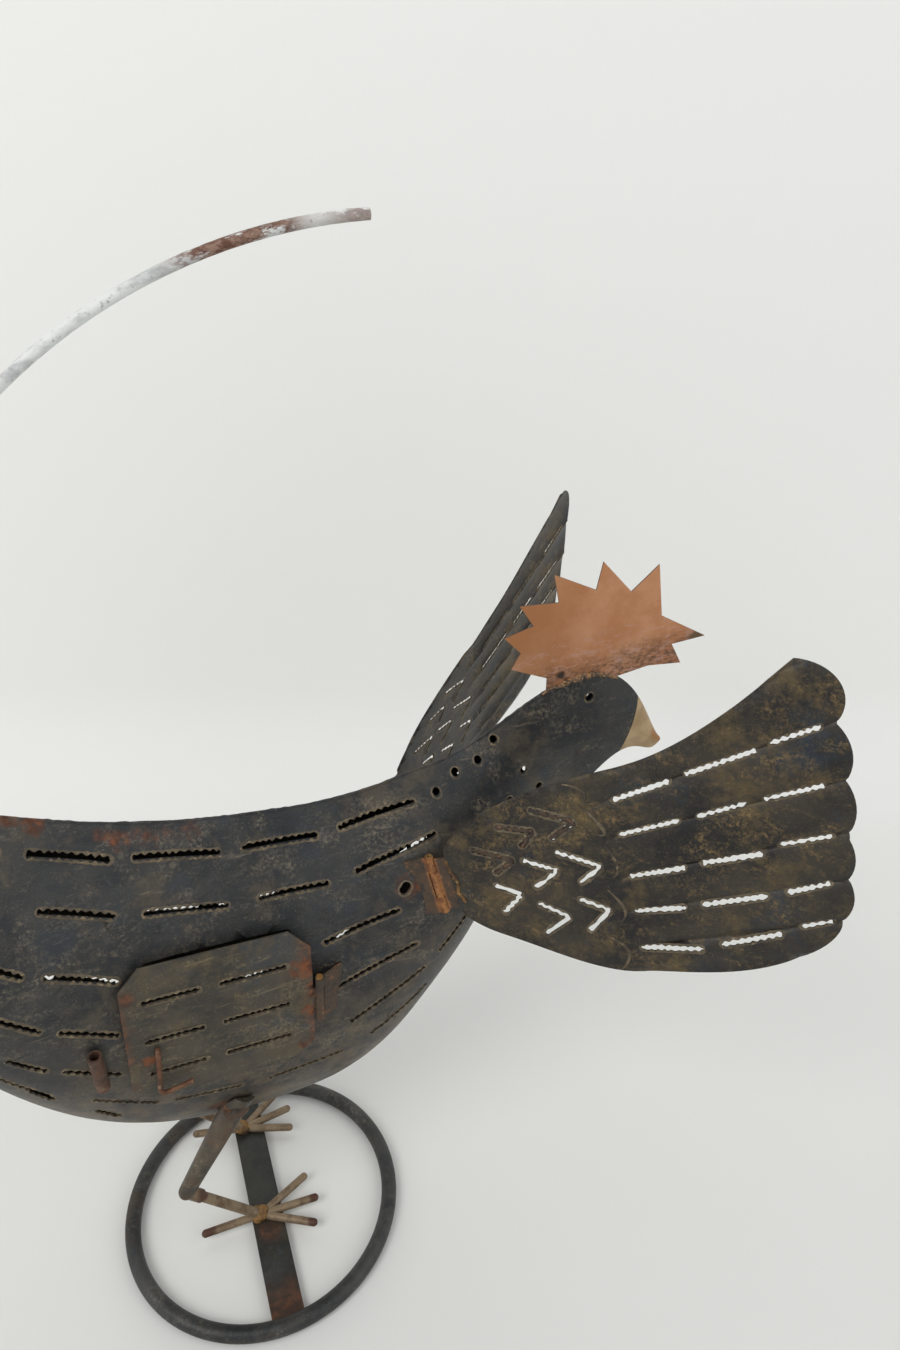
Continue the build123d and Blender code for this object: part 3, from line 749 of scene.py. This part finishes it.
door_out = Vector((0.0349, -0.9994, 0.0))
planes = [(Vector((x * MM, 0, 0)), Vector((1, 0, 0))) for x in range(-70, 56, 8)]
planes += [(Vector((0, 0, z * MM)), Vector((0, 0, 1))) for z in range(220, 336, 8)]
bm = cut_fine("door", planes)
door_loops = slot_loops(bm, door_out, door_out, 0.06)
widen(door_loops, 0.4 * MM)
door_rims = ripple_rims("door_rims", door_loops, 1.3 * MM, 5.0 * MM)
for vert in bm.verts:
    edge = min(1.0, max(0.0, (0.0526 - vert.co.x) / 0.012))
    vert.co -= door_out * edge * (0.5 + 0.5 * noise.noise(vert.co * 26)) * 0.5 * MM
door_mesh = bpy.data.meshes.new("door_sheet")
bm.to_mesh(door_mesh)
bm.free()
add_piece("door_sheet", door_mesh, door_steel, "door", ("door",))
add_piece("door_rims", door_rims, slag, "door")

# ---------------------------------------------------------------- braze on the crown

crown_run = []
for step in range(46):
    x = 0.2535 + 0.0014 * step
    hit = tree.ray_cast(Vector((x, MIDDLE_Y - BESIDE_SEAM, ABOVE_ALL)), Vector((0, 0, -1)))[0]
    taper = sin(pi * (step + 2) / 49) ** 0.5
    crown_run.append((Vector((x, MIDDLE_Y, hit.z + 0.4 * MM)), 2.5 * MM * taper))
crown_mesh = bead_mesh("crown_bead", [crown_run], sides=12, lump=0.9)
add_piece("crown_bead", crown_mesh, crown_braze, BODY, ("comb_braze",))

# ---------------------------------------------------------------- foot brazes and hip welds


def lump_mesh(name, centre, spread, count, size, seed):
    """Melts a few balls of braze together."""
    bm = bmesh.new()
    for number in range(count):
        angle = 2.4 * number + seed
        out = spread * (0.35 + 0.65 * ((number * 0.618 + seed) % 1.0))
        place = centre + Vector((cos(angle) * out, sin(angle) * out, size * 0.25 * sin(3 * angle)))
        radius = size * (0.75 + 0.4 * sin(angle * 1.7) ** 2)
        ball = bmesh.ops.create_icosphere(bm, subdivisions=3, radius=radius)
        for vert in ball["verts"]:
            vert.co = vert.co + place
    mesh = bpy.data.meshes.new(name + "_raw")
    bm.to_mesh(mesh)
    bm.free()
    obj = bpy.data.objects.new(name + "_raw", mesh)
    bpy.context.scene.collection.objects.link(obj)
    melt = obj.modifiers.new("melt", "REMESH")
    melt.mode = "VOXEL"
    melt.voxel_size = 0.5 * MM
    soften = obj.modifiers.new("soften", "SMOOTH")
    soften.iterations = 4
    solid = bpy.data.meshes.new_from_object(obj.evaluated_get(bpy.context.evaluated_depsgraph_get()))
    bpy.data.objects.remove(obj)
    for vert in solid.vertices:
        vert.co += vert.normal * noise.noise(vert.co * 450) * 0.5 * MM
    solid.name = name
    return solid


for side, y, seed in (("right", -0.0165, 0.3), ("left", 0.0685, 1.1)):
    lump = lump_mesh(side + "_foot_lump", Vector((-0.005, y, 0.0105)), 3.6 * MM, 9, 4.6 * MM, seed)
    add_piece(side + "_foot_lump", lump, braze, BODY, (side + "_foot_braze",))
    low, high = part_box(side + "_hip_weld")
    middle = (Vector(low) + Vector(high)) / 2
    seam = lump_mesh(side + "_hip_lump", middle, 6.5 * MM, 12, 5.2 * MM, seed)
    add_piece(side + "_hip_lump", seam, rusty_weld, BODY, (side + "_hip_weld",))

# ---------------------------------------------------------------- materials of the CAD nodes

finishes = {
    "base_ring": black_iron, "base_bar": bar_iron, "right_flank": flank_steel, "left_flank": flank_steel,
    "beak": brazed_brass, "comb": copper_sheet, "comb_braze": crown_braze, "tail_rod": worn_paint,
    "tail_braze": braze,
    "keeper_tube": rusty_tube, "door": door_steel, "door_leaf": hinge_steel, "door_handle": handle_wire,
    "door_body_leaf": hinge_steel, "door_hinge_pin": pin_steel,
}
for side in ("right_", "left_"):
    finishes[side + "thigh"] = leg_steel
    finishes[side + "shin"] = bronzed_rod
    finishes[side + "front_toes"] = bronzed_rod
    finishes[side + "back_toe"] = bronzed_rod
    finishes[side + "foot_braze"] = braze
    finishes[side + "hip_weld"] = rusty_weld
    finishes[side + "wing"] = wing_steel
    finishes[side + "wing_leaf"] = hinge_steel
    finishes[side + "shoulder_leaf"] = hinge_steel
    finishes[side + "wing_pin"] = pin_steel
for node, material in finishes.items():
    for place in nodes[node].material_slots:
        place.material = material

# ---------------------------------------------------------------- floor, light and camera


def stage_material():
    s = Shader("pale_floor")
    # painted shade: the floor darkens towards the camera and brightens far off, standing in for the fall-off
    # of the lamps' light
    along = s.axis((*HEADING, 0))
    shaded_near_colour = linear(226, 226, 223)
    lit_far_colour = linear(241, 241, 238)
    colour = s.mix(s.band(along, -0.25, 0.55), shaded_near_colour, lit_far_colour)
    wrinkles = s.bump(s.noise(7, 5, 0.6), 0.10, 0.01)
    return s.finish(colour, 0.9, 0.0, wrinkles, 0.1)


heading = Vector((*HEADING, 0)).normalized()
across = Vector((heading.y, -heading.x, 0))
camera_place = Vector((-0.0206, -0.5113, 0.8041))
profile = [(-2.2, 0.0), (0.0, 0.0), (0.92, 0.0)]
for step in range(COVE_STEPS + 1):
    angle = step * pi / (2 * COVE_STEPS)
    profile.append((COVE_START + COVE_RADIUS * sin(angle), COVE_RADIUS - COVE_RADIUS * cos(angle)))
profile.append((WALL_OUT, FLOOR_REACH))
floor_vertices = []
for out, up in profile:
    for way in (-FLOOR_REACH, FLOOR_REACH):
        place = Vector((camera_place.x, camera_place.y, 0)) + heading * out + across * way
        floor_vertices.append((place.x, place.y, up - FLOOR_DROP))
floor_faces = [(2 * i, 2 * i + 1, 2 * i + 3, 2 * i + 2) for i in range(len(profile) - 1)]
floor_mesh = mesh_of("floor", floor_vertices, floor_faces)
floor_mesh.materials.append(stage_material())
floor_mesh.polygons.foreach_set("use_smooth", [True] * len(floor_mesh.polygons))
floor = bpy.data.objects.new("floor", floor_mesh)
bpy.context.scene.collection.objects.link(floor)

world = bpy.data.worlds.new("studio")
bpy.context.scene.world = world
world.use_nodes = True
world.node_tree.nodes["Background"].inputs["Color"].default_value = (0.975, 0.99, 1.0, 1.0)
world.node_tree.nodes["Background"].inputs["Strength"].default_value = 0.68


def area_light(name, place, target, size, power, colour=(1, 1, 1)):
    data = bpy.data.lights.new(name, "AREA")
    data.shape = "DISK"
    data.size = size
    data.energy = power
    data.color = colour
    lamp = bpy.data.objects.new(name, data)
    lamp.location = place
    lamp.rotation_euler = (Vector(target) - Vector(place)).to_track_quat("-Z", "Y").to_euler()
    bpy.context.scene.collection.objects.link(lamp)


area_light("key", (-1.5, -0.9, 2.1), (0.0, 0.1, 0.3), 1.4, 22, (1.0, 0.99, 0.97))
area_light("fill", (1.6, -1.6, 1.6), (0.1, 0.0, 0.3), 1.8, 8, (0.97, 0.98, 1.0))

lens = bpy.data.cameras.new("camera")
lens.sensor_width = SENSOR
lens.lens = FOCAL_PIXELS / PHOTO_HEIGHT * SENSOR
lens.clip_start = 0.01
camera = bpy.data.objects.new("camera", lens)
camera.location = camera_place
camera.rotation_euler = Euler((radians(90 - CAMERA_TILT), 0, -atan2(*HEADING)))
bpy.context.scene.collection.objects.link(camera)
bpy.context.scene.camera = camera
bpy.context.scene.view_settings.view_transform = "Standard"
